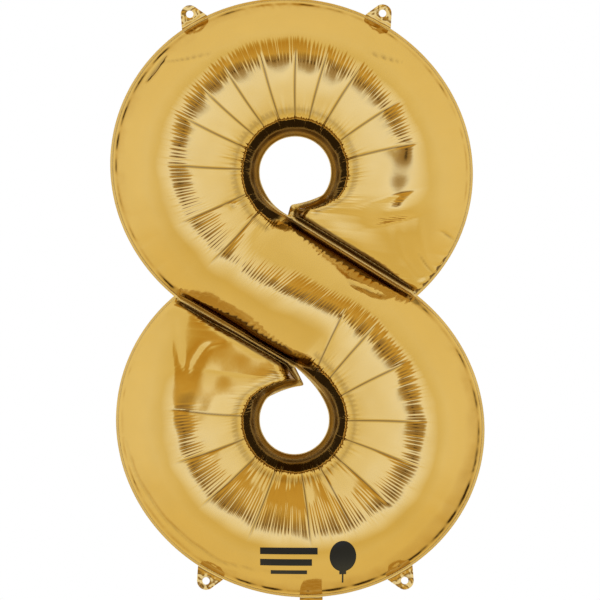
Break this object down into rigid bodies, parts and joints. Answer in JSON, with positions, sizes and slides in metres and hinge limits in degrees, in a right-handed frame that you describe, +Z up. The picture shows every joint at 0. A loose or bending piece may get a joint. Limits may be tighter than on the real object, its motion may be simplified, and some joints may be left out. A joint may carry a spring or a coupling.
{
  "type": "foil number balloon",
  "caption": "Inflated gold foil balloon in the shape of the figure eight, with flat welded edges, hanging tabs with eyelets and a filling tail.",
  "frame": {"origin": "on the line through the two upper eyelets, at the body's mid-width, in the plane of the welds", "axes": "+Z up along the figure, -Y out of the front panel, +X to the right as seen from the front"},
  "size_m": [0.5401, 0.162, 0.9303],
  "materials": {
    "gold_foil": "glossy metallised nylon film, gold lacquer",
    "heat_seal": "fused sealant layer between the films",
    "valve_film": "clear thin polyethylene"
  },
  "bodies": {
    "balloon_body": {"front_panel": "gold_foil", "back_panel": "gold_foil", "perimeter_seal": "heat_seal", "upper_rim_seal": "heat_seal", "lower_rim_seal": "heat_seal", "upper_branch_seal": "heat_seal", "lower_branch_seal": "heat_seal", "valve_front_film": "valve_film", "valve_back_film": "valve_film"},
    "tail": {"tail_front_film": "gold_foil", "tail_back_film": "gold_foil", "tail_left_seal": "heat_seal", "tail_right_seal": "heat_seal", "tail_valve_front_film": "valve_film", "tail_valve_back_film": "valve_film"},
    "upper_left_tab": {"upper_left_tab_front_film": "gold_foil", "upper_left_tab_back_film": "gold_foil"},
    "upper_right_tab": {"upper_right_tab_front_film": "gold_foil", "upper_right_tab_back_film": "gold_foil"},
    "lower_left_tab": {"lower_left_tab_front_film": "gold_foil", "lower_left_tab_back_film": "gold_foil"},
    "lower_right_tab": {"lower_right_tab_front_film": "gold_foil", "lower_right_tab_back_film": "gold_foil"}
  },
  "joints": [
    {"name": "tail_fold", "type": "hinge", "parent": "balloon_body", "child": "tail", "pos_m": [0.021, 0, -0.8402], "axis": [1, 0, 0], "range_deg": [-110, 110]},
    {"name": "upper_left_tab_fold", "type": "hinge", "parent": "balloon_body", "child": "upper_left_tab", "pos_m": [-0.14776, 0, -0.00987], "axis": [-0.8681, 0, -0.4964], "range_deg": [-100, 100], "stiffness_Nm_per_rad": 0.0004},
    {"name": "upper_right_tab_fold", "type": "hinge", "parent": "balloon_body", "child": "upper_right_tab", "pos_m": [0.11791, 0, -0.00867], "axis": [-0.88, 0, 0.4749], "range_deg": [-100, 100], "stiffness_Nm_per_rad": 0.0004},
    {"name": "lower_left_tab_fold", "type": "hinge", "parent": "balloon_body", "child": "lower_left_tab", "pos_m": [-0.12444, 0, -0.80491], "axis": [0.8763, 0, -0.4817], "range_deg": [-100, 100], "stiffness_Nm_per_rad": 0.0004},
    {"name": "lower_right_tab_fold", "type": "hinge", "parent": "balloon_body", "child": "lower_right_tab", "pos_m": [0.14957, 0, -0.80461], "axis": [0.8671, 0, 0.4981], "range_deg": [-100, 100], "stiffness_Nm_per_rad": 0.0004}
  ]
}
